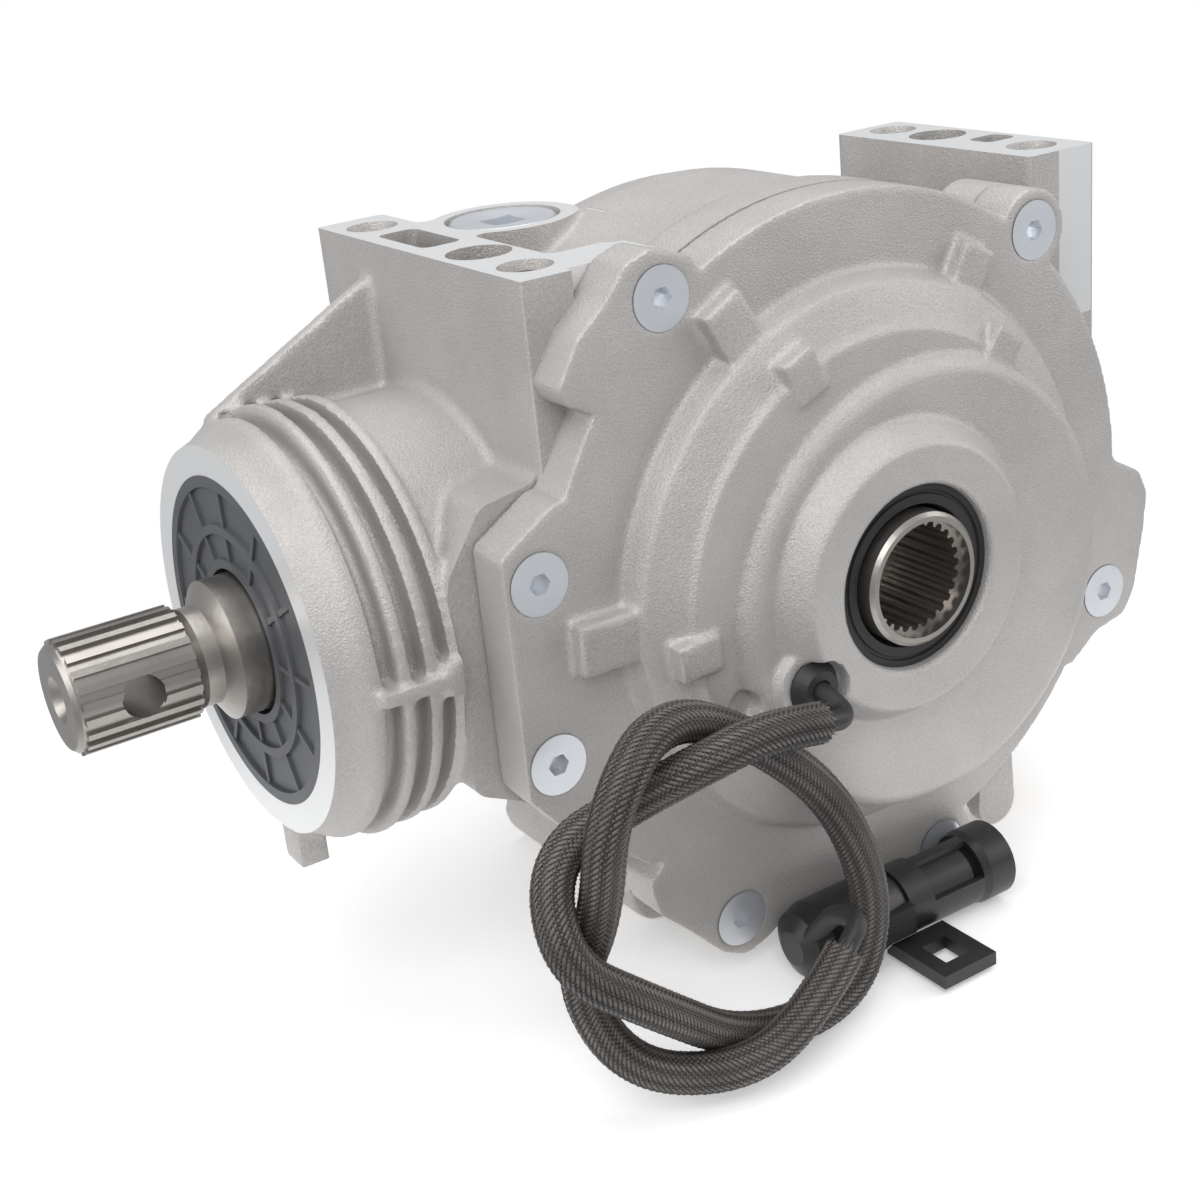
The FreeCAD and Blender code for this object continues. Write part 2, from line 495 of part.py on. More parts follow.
def clutch():
    cage = turned("cage_tube", "Y", [(-37, "cage_inner"), (-37, "cage_outer"), (14, "cage_outer"), (14, "cage_inner")])
    windows = []
    rollers = []
    for row, start in enumerate((-24, -4)):
        for index in range(10):
            turn = math.radians(36.0 * index)
            x, z = 28 * math.cos(turn), 28 * math.sin(turn)
            spot = ("%.4f" % x, start - 0.2, "%.4f" % z)
            windows.append(cyl("cage_window_%d_%d" % (row, index), "Y", "roller_radius + 0.15", 16.4, spot))
            spot = ("%.4f" % x, start, "%.4f" % z)
            rollers.append(cyl("roller_%d_%d" % (row, index), "Y", "roller_radius", 16, spot))
    cut("roll_cage", cage, *windows)
    fuse("clutch_rollers", *rollers)
    turned("cage_spring", "Y", [(14, 27), (14, 30), (15.6, 30), (15.6, 27)])
    turned("armature_plate", "Y", [(-40, 26), (-40, 50), (-37, 50), (-37, 26)])
    turned("coil_pole_ring", "Y", [
        ("coil_floor", 34), ("coil_floor", "coil_pocket"), (-42.5, "coil_pocket"), (-42.5, 48), (-53, 48), (-53, 38),
        (-42.5, 38), (-42.5, 34)])
    turned("coil_bobbin", "Y", [(-53, 38), (-53, 48), (-52, 48), (-52, 39), (-44, 39), (-44, 48), (-43, 48), (-43, 38)])
    turned("coil_winding", "Y", [(-52, 39), (-52, 47.4), (-44, 47.4), (-44, 39)])
    turned("ring_gear_thrust_ring", "Y", [
        (-40, 51.45), (-40, "pilot_bore"), ("pilot_end", "pilot_bore"), ("pilot_end", 60), (-30.05, 60),
        (-30.05, 51.45)])
    turned("ring_gear_bush", "Y", [(6, "drum_outer + running_gap"), (6, 40.5), (20, 40.5), (20, "drum_outer + running_gap")])


def output_hub(name, points, inner, mouth, away):
    blank = turned(name + "_turned", "Y", points)
    bore = cyl(name + "_bore", "Y", "hub_spline", 22, (0, min(inner, mouth), 0))
    wide = cyl(name + "_mouth", "Y", "hub_mouth", 3, (0, mouth - 3 if away > 0 else mouth, 0))
    grooves = around(lambda index, x, z: cyl("%s_groove_%d" % (name, index), "Y", 0.9, 22, (
        "%.4f" % x, min(inner, mouth), "%.4f" % z)), 27, 11.2)
    return cut(name, blank, bore, wide, *grooves)


def hubs():
    output_hub("output_hub_cover_side", [
        (-78, 0), (-78, "hub_tube - 0.8"), (-77.2, "hub_tube"), (-65, "hub_tube"), (-64, "hub_journal"),
        (-43.6, "hub_journal"), (-43.6, 20), (-27, 20), (-25, "head_radius"), (-6.2, "head_radius"), (-6.2, 0)],
        -56, -78, -1)
    output_hub("output_hub_housing_side", [
        (-5.2, 0), (-5.2, "head_radius"), (13, "head_radius"), (15, 20), (23.6, 20), (23.6, "hub_journal"),
        (44, "hub_journal"), (45, "hub_tube"), (55.2, "hub_tube"), (56, "hub_tube - 0.8"), (56, 0)], 34, 56, 1)
    turned("hub_thrust_washer", "Y", [(-6.2, 5), (-6.2, 22), (-5.2, 22), (-5.2, 5)])
    turned("hub_bush_cover_side", "Y", [
        (-63.9, "hub_journal + running_gap"), (-63.9, "bush_outer"), (-44.5, "bush_outer"),
        (-44.5, "hub_journal + running_gap")])
    turned("hub_bush_housing_side", "Y", [
        (24.5, "hub_journal + running_gap"), (24.5, "bush_outer"), (45, "bush_outer"),
        (45, "hub_journal + running_gap")])


# Coiled lead and its connector, corner points of the route in millimetres
ROUTE = [(-35.4, -85.4, -17.9), (-49.9, -86.8, -14.1), (-64.6, -85.4, -16.6), (-74.6, -76.8, -23.9),
         (-95.4, -75.9, -28.6), (-101.3, -87.4, -45.4), (-85.3, -90.4, -59.3), (-57.6, -82.5, -85.4),
         (-30.5, -85, -85.6), (-16.8, -78, -69.3), (-25.3, -76.6, -42.4), (-45.4, -76, -20.8), (-68.6, -78.3, -6.4),
         (-87.8, -87.3, -17.5), (-89.4, -83.7, -41.1), (-92.8, -75.9, -58.5), (-86.1, -81.9, -78.9),
         (-68.3, -92, -83.2), (-49.9, -92.2, -80.6), (-35, -89, -69.5)]
COIL_WIRES = [(-27, -58, -17), (-27, -76, -17), (-27, -84.6, -20.1), (-35.4, -85.4, -17.9)]
PLUG_WIRES = [(-35, -89, -69.5), (-29.5, -87.8, -65.4), (-29, -79, -67.5), (-29, -70, -78)]


def flexible(name, corners, diameter):
    """Round lead of straight runs joined by tangent arcs."""
    spots = [Vector(*corner) for corner in corners]
    edges = []
    last = spots[0]
    for before, corner, after in zip(spots, spots[1:], spots[2:]):
        back = (before - corner).normalize()
        forth = (after - corner).normalize()
        turn = math.pi - back.getAngle(forth)
        reach = 0.45 * min((before - corner).Length, (after - corner).Length)
        radius = reach / math.tan(turn / 2)
        print(name, "radius %.1f turn %.0f" % (radius, math.degrees(turn)))
        start = corner + back * reach
        end = corner + forth * reach
        middle = (back + forth).normalize()
        crown = corner + middle * (math.hypot(radius, reach) - radius)
        edges.append(Part.LineSegment(last, start).toShape())
        edges.append(Part.Arc(start, crown, end).toShape())
        last = end
    edges.append(Part.LineSegment(last, spots[-1]).toShape())
    path = Part.Wire(edges)
    ring = Part.Wire([Part.makeCircle(diameter / 2.0, spots[0], spots[1] - spots[0])])
    tube = doc.addObject("Part::Feature", name)
    tube.Shape = path.makePipeShell([ring], True, False)
    print(name, "length %.1f volume share %.4f" % (
        path.Length, tube.Shape.Volume / (path.Length * math.pi * diameter * diameter / 4)))


def lead():
    flexible("lead_sleeve", ROUTE, SIZES["lead_diameter"])
    flexible("coil_wires", COIL_WIRES, 4.4)
    flexible("plug_wires", PLUG_WIRES, 4.4)
    turned("lead_grommet", "Y", [(-76, 2.3), (-76, 4.2), (-73.4, 6), (-73.1, 6), (-73.1, 5.15), (-60, 5.15),
                                 (-60, 2.3)], ("grommet_x", 0, "grommet_z"))


def plug():
    shell = turned("shell_tube", "X", [(-31, 7), (-31, 8.3), (-9, 8.3), (-7, 8.9), (0, 8.9), (0, 7.6), (-9, 7)])
    windows = [box("shell_window_%d" % index, (-24, low, 1.5), (-9, high, 12))
               for index, (low, high) in enumerate(((-9, -1.5), (1.5, 9)))]
    shell = cut("connector_shell", shell, *windows)
    body = turned("connector_body", "X", [(-34, 0), (-34, 6.95), (-11, 6.95), (-11, 5), (-4, 5), (-4, 3.6), (-12, 3.6),
                                          (-12, 0)])
    tab = box("connector_tab", (-44, -9.6, -3), (-31.2, -7.2, 4))
    boot = fuse("connector_boot_round",
                turned("connector_boot_turned", "X", [(-59, 0), (-59, 4), (-57, 7.6), (-53, 8.9), (-38, 9), (-34, 8.3),
                                                      (-31.2, 7.6), (-31.2, 0)]), tab)
    boot = cut("connector_boot", boot, cyl("boot_seat", "X", 7, 4, (-34.1, 0, 0)))
    pins = fuse("connector_terminals", *[cyl("terminal_%d" % index, "X", 0.8, 8, (-12, y, 0))
                                         for index, y in enumerate((-1.8, 1.8))])
    clip = cut("connector_clip", box("clip_plate", (-37, -25, -7.8), (-22, -6, -4.6)),
               box("clip_window", (-33, -21, -9), (-26, -13, 0)),
               cyl("clip_saddle", "X", 9.05, 30, (-38, 0, 0)))
    for part in (shell, body, boot, pins, clip):
        settle(part, (27, "plug_y", "plug_z"))


main_housing()
cover()
cover_screws()
small_parts()
pinion()
pinion_bearing()
pinion_seal()
axle_seals()
ring_gear()
clutch()
hubs()
lead()
plug()
doc.recompute()

NODES = """main_housing cover cover_screws cover_oring dowel_pins thread_inserts fill_plug fill_plug_seal
drain_plug drain_washer pinion_shaft pinion_bearing_inner pinion_bearing_outer pinion_bearing_balls
pinion_bearing_cage bearing_snap_ring pinion_seal pinion_seal_spring axle_seal_cover_side axle_seal_housing_side
ring_gear roll_cage clutch_rollers cage_spring armature_plate coil_pole_ring coil_bobbin coil_winding
ring_gear_thrust_ring ring_gear_bush output_hub_cover_side output_hub_housing_side hub_thrust_washer
hub_bush_cover_side hub_bush_housing_side lead_sleeve coil_wires plug_wires lead_grommet connector_shell
connector_body connector_boot connector_terminals connector_clip""".split()

for item in doc.Objects:
    if "Invalid" in item.State or "Error" in item.State:
        raise RuntimeError("%s is %s" % (item.Label, item.State))
for node in NODES:
    shape = doc.getObject(node).Shape
    if shape.isNull() or not shape.isValid():
        raise RuntimeError("%s has a bad shape" % node)
    shape.exportStep("parts/%s.step" % node)
    print(node, len(shape.Solids), round(shape.Volume))
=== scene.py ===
import bpy
import json
import math
import random
from mathutils import Matrix, Vector


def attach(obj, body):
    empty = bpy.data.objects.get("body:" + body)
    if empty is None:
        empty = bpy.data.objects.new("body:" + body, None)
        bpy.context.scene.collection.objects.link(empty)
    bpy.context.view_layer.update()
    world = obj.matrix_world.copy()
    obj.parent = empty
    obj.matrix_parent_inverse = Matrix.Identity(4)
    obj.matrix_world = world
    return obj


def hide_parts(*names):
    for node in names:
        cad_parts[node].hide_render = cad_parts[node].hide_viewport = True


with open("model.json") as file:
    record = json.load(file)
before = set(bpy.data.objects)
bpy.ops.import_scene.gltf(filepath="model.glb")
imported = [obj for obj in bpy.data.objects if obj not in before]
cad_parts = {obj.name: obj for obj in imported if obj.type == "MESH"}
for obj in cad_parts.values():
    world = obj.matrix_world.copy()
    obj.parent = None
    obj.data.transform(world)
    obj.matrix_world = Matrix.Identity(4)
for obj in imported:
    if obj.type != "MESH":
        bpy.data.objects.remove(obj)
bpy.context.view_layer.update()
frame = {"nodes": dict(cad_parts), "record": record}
nodes = frame["nodes"]
random.seed(11)
mm = 0.001


def clearSelection():
    if bpy.context.mode != "OBJECT":
        bpy.ops.object.mode_set(mode="OBJECT")
    bpy.ops.object.select_all(action="DESELECT")


# camera, taken from the fit to the shaft seal and the cover's rings
viewFrom = {
    "place": Vector((-0.2454, -0.3543, 0.1521)),
    "right": Vector((0.832, -0.547, -0.095)),
    "up": Vector((0.283, 0.270, 0.920)),
    "lens": 57.0,
}
bpy.ops.object.camera_add(location=viewFrom["place"])
camera = bpy.context.object
camera.name = "photoCamera"
sideways = viewFrom["right"].normalized()
upward = (viewFrom["up"] - sideways * viewFrom["up"].dot(sideways)).normalized()
backward = sideways.cross(upward)
turnMatrix = Matrix((sideways, upward, backward)).transposed().to_4x4()
camera.matrix_world = Matrix.Translation(viewFrom["place"]) @ turnMatrix
camera.data.lens = viewFrom["lens"]
camera.data.sensor_width = 36
camera.data.clip_start = 0.01
bpy.context.scene.camera = camera
print("camera set")


# materials
def nodeMaterial(name):
    mat = bpy.data.materials.new(name)
    mat.use_nodes = True
    return mat, mat.node_tree.nodes, mat.node_tree.links, mat.node_tree.nodes["Principled BSDF"]


def mathNode(tree, operation, first, second):
    step = tree.nodes.new("ShaderNodeMath")
    step.operation = operation
    for index, value in enumerate((first, second)):
        if isinstance(value, (int, float)):
            step.inputs[index].default_value = value
        else:
            tree.links.new(value, step.inputs[index])
    return step.outputs[0]


def grainGroup():
    # fine grain height plus a slow cloudy mask, shared by every finish
    group = bpy.data.node_groups.new("surfaceGrain", "ShaderNodeTree")
    group.interface.new_socket("Scale", in_out="INPUT", socket_type="NodeSocketFloat")
    group.interface.new_socket("Height", in_out="OUTPUT", socket_type="NodeSocketFloat")
    group.interface.new_socket("Clouds", in_out="OUTPUT", socket_type="NodeSocketFloat")
    enter = group.nodes.new("NodeGroupInput")
    leave = group.nodes.new("NodeGroupOutput")
    coords = group.nodes.new("ShaderNodeTexCoord")
    fine = group.nodes.new("ShaderNodeTexNoise")
    fine.inputs["Detail"].default_value = 4
    slow = group.nodes.new("ShaderNodeTexNoise")
    slow.inputs["Scale"].default_value = 45
    slow.inputs["Detail"].default_value = 5
    group.links.new(enter.outputs["Scale"], fine.inputs["Scale"])
    for noise in (fine, slow):
        group.links.new(coords.outputs["Object"], noise.inputs["Vector"])
    group.links.new(fine.outputs["Fac"], leave.inputs["Height"])
    group.links.new(slow.outputs["Fac"], leave.inputs["Clouds"])
    return group


grain = grainGroup()


def finish(name, colour, rough, metal, scale=900, bump=0.05, mottle=0.1):
    # bump is the grain's depth in millimetres, mottle the share the colour drifts by
    mat, parts, links, shader = nodeMaterial(name)
    shader.inputs["Metallic"].default_value = metal
    shader.inputs["Roughness"].default_value = rough
    texture = parts.new("ShaderNodeGroup")
    texture.node_tree = grain
    texture.inputs["Scale"].default_value = scale
    ramp = parts.new("ShaderNodeValToRGB")
    ramp.color_ramp.elements[0].position = 0.35
    ramp.color_ramp.elements[1].position = 0.65
    ramp.color_ramp.elements[0].color = (*[c * (1 - mottle) for c in colour], 1)
    ramp.color_ramp.elements[1].color = (*[min(1, c * (1 + mottle)) for c in colour], 1)
    links.new(texture.outputs["Clouds"], ramp.inputs["Fac"])
    links.new(ramp.outputs["Color"], shader.inputs["Base Color"])
    relief = parts.new("ShaderNodeBump")
    relief.inputs["Strength"].default_value = 1.0
    relief.inputs["Distance"].default_value = bump * mm
    links.new(texture.outputs["Height"], relief.inputs["Height"])
    links.new(relief.outputs["Normal"], shader.inputs["Normal"])
    return mat, ramp, relief


cast = {
    "colour": (0.50, 0.48, 0.465),
    "milledColour": (0.82, 0.82, 0.82, 1),
    "rough": 0.5,
    "milledSmoother": 0.18,
    "metal": 0.45,
    "grainScale": 2300,
    "grainDepth": 0.26,
    "mottle": 0.05,
    "relief": 0.9,
    "milledFlatter": 0.8,
    "darkestGrain": 0.74,
    "grainContrast": 0.52,
    "squareOn": 0.995,
}


def castFinish(name, faces):
    # bead-blasted casting with milled faces, each (axis, side, plane, lowest Z, least and most
    # distance in X); a face counts only where the surface looks along its axis
    mat, ramp, relief = finish(name, cast["colour"], cast["rough"], cast["metal"], cast["grainScale"],
                               cast["grainDepth"], cast["mottle"])
    tree = mat.node_tree
    shader = tree.nodes["Principled BSDF"]
    coords = tree.nodes.new("ShaderNodeTexCoord")
    split = tree.nodes.new("ShaderNodeSeparateXYZ")
    tree.links.new(coords.outputs["Object"], split.inputs[0])
    mask = None
    shape = tree.nodes.new("ShaderNodeNewGeometry")
    facing = tree.nodes.new("ShaderNodeSeparateXYZ")
    tree.links.new(shape.outputs["True Normal"], facing.inputs[0])
    fromMiddle = mathNode(tree, "ABSOLUTE", split.outputs["X"], 0)
    for axis, side, plane, lowest, least, most in faces:
        value = mathNode(tree, side, split.outputs[axis], plane * mm)
        above = mathNode(tree, "GREATER_THAN", split.outputs["Z"], lowest * mm)
        value = mathNode(tree, "MULTIPLY", value, above)
        outside = mathNode(tree, "GREATER_THAN", fromMiddle, least * mm)
        value = mathNode(tree, "MULTIPLY", value, outside)
        inside = mathNode(tree, "LESS_THAN", fromMiddle, most * mm)
        value = mathNode(tree, "MULTIPLY", value, inside)
        along = mathNode(tree, "ABSOLUTE", facing.outputs[axis], 0)
        flat = mathNode(tree, "GREATER_THAN", along, cast["squareOn"])
        value = mathNode(tree, "MULTIPLY", value, flat)
        mask = value if mask is None else mathNode(tree, "MAXIMUM", mask, value)
    tone = tree.nodes.new("ShaderNodeMix")
    tone.data_type = "RGBA"
    tone.inputs[7].default_value = cast["milledColour"]
    tree.links.new(mask, tone.inputs[0])
    speckle = tree.nodes.new("ShaderNodeTexNoise")
    speckle.inputs["Scale"].default_value = cast["grainScale"]
    tree.links.new(coords.outputs["Object"], speckle.inputs["Vector"])
    grains = tree.nodes.new("ShaderNodeHueSaturation")
    contrast = mathNode(tree, "MULTIPLY", speckle.outputs["Fac"], cast["grainContrast"])
    shade = mathNode(tree, "ADD", cast["darkestGrain"], contrast)
    tree.links.new(shade, grains.inputs["Value"])
    tree.links.new(ramp.outputs["Color"], grains.inputs["Color"])
    tree.links.new(grains.outputs["Color"], tone.inputs[6])
    tree.links.new(tone.outputs[2], shader.inputs["Base Color"])
    for start, drop, socket in ((cast["rough"], cast["milledSmoother"], shader.inputs["Roughness"]),
                                (cast["relief"], cast["milledFlatter"], relief.inputs["Strength"])):
        milled = mathNode(tree, "MULTIPLY", mask, drop)
        tree.links.new(mathNode(tree, "SUBTRACT", start, milled), socket)
    return mat


looks = {
    "zinc_steel": finish("zincPlate", (0.76, 0.78, 0.82), 0.34, 0.7, 500, 0.03, 0.06)[0],
    "bright_steel": finish("groundSteel", (0.6, 0.6, 0.6), 0.25, 1.0, 700, 0.02, 0.04)[0],
    "machined_steel": finish("turnedSteel", (0.40, 0.375, 0.35), 0.34, 0.95, 650, 0.05, 0.12)[0],
    "spring_steel": finish("phosphateSteel", (0.12, 0.12, 0.13), 0.45, 0.8)[0],
    "yellow_zinc": finish("yellowZinc", (0.72, 0.46, 0.24), 0.35, 0.8, 500, 0.04, 0.15)[0],
    "copper": finish("plainCopper", (0.75, 0.38, 0.22), 0.35, 1.0)[0],
    "bronze": finish("sinteredBronze", (0.55, 0.40, 0.2), 0.45, 0.9)[0],
    "black_rubber": finish("blackRubber", (0.02, 0.02, 0.021), 0.5, 0.0, 1200, 0.06, 0.2)[0],
    "seal_rubber": finish("sealRubber", (0.075, 0.078, 0.085), 0.42, 0.0, 900, 0.05, 0.12)[0],
    "black_plastic": finish("blackPlastic", (0.016, 0.016, 0.017), 0.38, 0.0, 1500, 0.05, 0.15)[0],
    "lead_braid": finish("braidShade", (0.012, 0.011, 0.010), 0.6, 0.0)[0],
}
# the snout's end, the pad tops and the pads' front faces
housingLook = castFinish("castHousing", [("X", "LESS_THAN", -119.8, -60, 100, 200),
                                         ("Z", "GREATER_THAN", 72.8, 0, 23, 200),
                                         ("Y", "LESS_THAN", -43.9, 29, 41, 59),
                                         ("Y", "LESS_THAN", -43.4, 34, 74, 200)])
coverLook = castFinish("castCover", [("Y", "GREATER_THAN", -32, -100, 0, 200)])


def repaint(obj, look):
    obj.material_slots[0].link = "OBJECT"
    obj.material_slots[0].material = look


for part in frame["record"]["subparts"]:
    name = part["node"]
    if part["material_slot"] in looks:
        repaint(nodes[name], looks[part["material_slot"]])
repaint(nodes["main_housing"], housingLook)
repaint(nodes["cover"], coverLook)
print("materials set")


# castings with the soft edges of a mould
stock = 3 * mm
flushWithin = 0.00005
cutReach = 200
discSides = 160
smoothing = 0.5
smoothPasses = 4
sharpFrom = math.radians(35)


def pushOut(piece, axis, plane, away, low, high):
    # leaves stock on a face that is machined after casting
    clearSelection()
    piece.select_set(True)
    bpy.context.view_layer.objects.active = piece
    for vertex in piece.data.vertices:
        onFace = abs(vertex.co[axis] - plane * mm) < flushWithin
        inside = all(a * mm < vertex.co[i] < b * mm for i, (a, b) in enumerate(zip(low, high)))
        vertex.select = onFace and inside
    for group in (piece.data.edges, piece.data.polygons):
        for element in group:
            element.select = False
    bpy.ops.object.mode_set(mode="EDIT")
    bpy.ops.mesh.select_mode(type="VERT")
    shift = [0, 0, 0]
    shift[axis] = away * stock
    bpy.ops.transform.translate(value=shift)
    bpy.ops.object.mode_set(mode="OBJECT")


def block(low, high):
    # corners in millimetres
    centre = [(a + b) / 2 * mm for a, b in zip(low, high)]
    bpy.ops.mesh.primitive_cube_add(size=1, location=centre)
    made = bpy.context.object
    made.scale = [(b - a) * mm for a, b in zip(low, high)]
    bpy.ops.object.transform_apply(location=True, rotation=True, scale=True)
    return made


def disc(low, high, radius):
    # lies along X, between low and high in millimetres
    bpy.ops.mesh.primitive_cylinder_add(vertices=discSides, radius=radius * mm, depth=(high - low) * mm,
                                        location=((low + high) / 2 * mm, 0, 0),
                                        rotation=(0, math.pi / 2, 0))
    made = bpy.context.object
    bpy.ops.object.transform_apply(location=True, rotation=True, scale=True)
    return made


def subtract(piece, cutter):
    step = piece.modifiers.new("cutAway", "BOOLEAN")
    step.operation = "DIFFERENCE"
    step.solver = "MANIFOLD"
    step.object = cutter
    clearSelection()
    piece.select_set(True)
    bpy.context.view_layer.objects.active = piece
    bpy.ops.object.modifier_apply(modifier=step.name)
    # Blender skips a cut on an open mesh with a warning alone
    if len(piece.modifiers):
        raise RuntimeError("cut skipped on " + piece.name)
    clearSelection()
    cutter.select_set(True)
    bpy.ops.object.delete()
    piece.select_set(True)
    bpy.context.view_layer.objects.active = piece


def trim(piece, axis, plane, away, low, high):
    # mills the stock back to the machined plane
    low, high = [*low, -cutReach], [*high, cutReach]
    low[axis], high[axis] = (plane, plane + cutReach) if away > 0 else (plane - cutReach, plane)
    subtract(piece, block(low, high))


def ring(low, high, inner, outer):
    made = disc(low, high, outer)
    subtract(made, disc(low - 1, high + 1, inner))
    return made


def remesh(piece, grid):
    voxels = piece.modifiers.new("mould", "REMESH")
    voxels.mode = "VOXEL"
    voxels.voxel_size = grid
    bpy.ops.object.modifier_apply(modifier="mould")


def softCasting(name, look, form):
    machined = form["machined"]
    clearSelection()
    source = nodes[name]
    source.select_set(True)
    bpy.context.view_layer.objects.active = source
    bpy.ops.object.duplicate()
    piece = bpy.context.object
    piece.name = "cast_" + name
    piece.parent = None
    piece.matrix_world = Matrix.Identity(4)
    piece.modifiers.clear()
    for face in machined:
        pushOut(piece, *face)
    for valley in form["valleys"]:
        # the cut needs a closed mesh, so the piece is remeshed ahead of it
        remesh(piece, form["grid"])
        subtract(piece, ring(*valley))
    added = [ring(*size) for size in form["rings"]] + [block(*size) for size in form["blocks"]]
    clearSelection()
    for item in added + [piece]:
        item.select_set(True)
    bpy.context.view_layer.objects.active = piece
    if added:
        bpy.ops.object.join()
    remesh(piece, form["grid"])
    soften = piece.modifiers.new("soften", "SMOOTH")
    soften.factor = smoothing
    soften.iterations = smoothPasses
    thin = piece.modifiers.new("thin", "DECIMATE")
    thin.decimate_type = "COLLAPSE"
    thin.ratio = form["kept"]
    for modifier in ("soften", "thin"):
        bpy.ops.object.modifier_apply(modifier=modifier)
    for face in machined:
        trim(piece, *face)
    bpy.ops.object.shade_smooth_by_angle(angle=sharpFrom)
    repaint(piece, look)
    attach(piece, "case")
    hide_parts(name)
    print(piece.name, len(piece.data.polygons))


# machined faces are (axis, plane, side, low XY corner, high XY corner)
housing = {
    "grid": 0.0008,
    "kept": 0.2,
    "machined": [(2, 73, 1, (-130, -60), (-29, 60)), (2, 73, 1, (-29, -5), (-23, 29)),
                 (2, 73, 1, (24.5, -60), (130, 60)), (0, -120, -1, (-200, -60), (200, 60)),
                 (1, -45, -1, (-93.6, -60), (-70.6, 60)), (1, -45, -1, (-59, -60), (130, 60)),
                 (1, 53, 1, (-130, -60), (130, 60))],
    # three cooling rings on the input snout, the side rib with its block and the proud cast pad face
    "valleys": [(-110, -93.6, 42, 47.6)],
    "rings": [(-107, -104.1, 40, 47.5), (-100.9, -98.1, 40, 47.1), (-95.2, -92.4, 40, 46.7)],
    "blocks": [((-111, 18.2, 36), (-90, 21.8, 42.6)), ((-111.5, -49, -2.2), (-93.8, -40, 0.8)),
               ((-97.4, -48.6, -4.4), (-93.8, -40, 3)), ((-70.5, -47.2, 24), (-59, -44, 74))],
}
cover = {
    "grid": 0.0007,
    "kept": 0.2,
    "machined": [(1, -31.6, 1, (-130, -90), (130, 60))],
    "valleys": [],
    "rings": [],
    "blocks": [],
}
softCasting("main_housing", housingLook, housing)
softCasting("cover", coverLook, cover)
print("castings softened")

# lead, corner points of the route in millimetres
lead = {
    "route": [(-35.4, -85.4, -17.9), (-49.9, -86.8, -14.1), (-64.6, -85.4, -16.6), (-74.6, -76.8, -23.9),
              (-95.4, -75.9, -28.6), (-101.3, -87.4, -45.4), (-85.3, -90.4, -59.3), (-57.6, -82.5, -85.4),
              (-30.5, -85, -85.6), (-16.8, -78, -69.3), (-25.3, -76.6, -42.4), (-45.4, -76, -20.8),
              (-68.6, -78.3, -6.4), (-87.8, -87.3, -17.5), (-89.4, -83.7, -41.1), (-92.8, -75.9, -58.5),
              (-86.1, -81.9, -78.9), (-68.3, -92, -83.2), (-49.9, -92.2, -80.6), (-35, -89, -69.5)],
    "diameter": 0.0086,
    "length": 0.412,
    "coreRadius": 0.0040,
    "braidRadius": 0.00415,
    "strands": 20,
    "halfWidth": 0.00033,
    "weave": 0.00016,
    "edgeDepth": 0.00016,
    "crown": 0.00012,
    "pitch": 0.024,
    "step": 0.0008,
    "hairs": 70,
    "hairWidth": 0.00012,
    "hairRoot": (0.0034, 0.0042),
    "hairStart": 0.0006,
    "hairReach": (0.0008, 0.0024),
    "hairSpread": (-0.0008, 0.0006),
}
clearSelection()
curve = bpy.data.curves.new("leadSleeve", "CURVE")
curve.dimensions = "3D"
spline = curve.splines.new("NURBS")
spline.points.add(len(lead["route"]) - 1)
for point, corner in zip(spline.points, lead["route"]):
    point.co = (corner[0] * mm, corner[1] * mm, corner[2] * mm, 1)
spline.order_u = 3
spline.use_endpoint_u = True
spline.resolution_u = 12
leadSleeve = bpy.data.objects.new("leadSleeve", curve)
bpy.context.collection.objects.link(leadSleeve)

pathMesh = bpy.data.meshes.new_from_object(leadSleeve)
track = [vertex.co.copy() for vertex in pathMesh.vertices]
bpy.data.meshes.remove(pathMesh)
curve.bevel_depth = lead["coreRadius"]
curve.bevel_resolution = 3
curve.use_fill_caps = True
curve.materials.append(looks["lead_braid"])


def resample(points, step):
    out = [points[0]]
    travelled = 0.0
    for before, after in zip(points, points[1:]):
        span = (after - before).length
        while travelled + span >= step:
            share = (step - travelled) / span
            before = before.lerp(after, share)
            out.append(before)
            span = (after - before).length
            travelled = 0.0
        travelled += span
    return out


def crossFrames(points):
    # side and lift directions carried along the track without twist
    frames = []
    side = (points[1] - points[0]).orthogonal().normalized()
    for index, point in enumerate(points):
        ahead = points[min(index + 1, len(points) - 1)] - points[max(index - 1, 0)]
        ahead.normalize()
        side = (side - ahead * side.dot(ahead)).normalized()
        frames.append((point, side, ahead.cross(side), ahead))
    return frames


# two sets of strands wound against each other, each strand a low ridge
frames = crossFrames(resample(track, lead["step"]))
verts = []
faces = []
tones = []
for hand in (1, -1):
    for strand in range(lead["strands"]):
        start = len(verts)
        for index, (point, side, lift, ahead) in enumerate(frames):
            wound = 2 * math.pi * index * lead["step"] / lead["pitch"]
            turn = hand * wound + 2 * math.pi * strand / lead["strands"]
            wave = math.cos(lead["strands"] * wound + math.pi * strand)
            radius = lead["braidRadius"] + hand * lead["weave"] * wave
            out = side * math.cos(turn) + lift * math.sin(turn)
            tangent = (lift * math.cos(turn) - side * math.sin(turn)) * hand
            along = (tangent * 0.8 + ahead * 0.6).normalized()
            across = along.cross(out).normalized()
            middle = point + out * radius
            verts.append(middle - across * lead["halfWidth"] - out * lead["edgeDepth"])
            verts.append(middle + out * lead["crown"])
            verts.append(middle + across * lead["halfWidth"] - out * lead["edgeDepth"])
        for index in range(len(frames) - 1):
            a = start + index * 3
            faces.append((a, a + 3, a + 4, a + 1))
            faces.append((a + 1, a + 4, a + 5, a + 2))
            tones.extend([hand < 0, hand < 0])
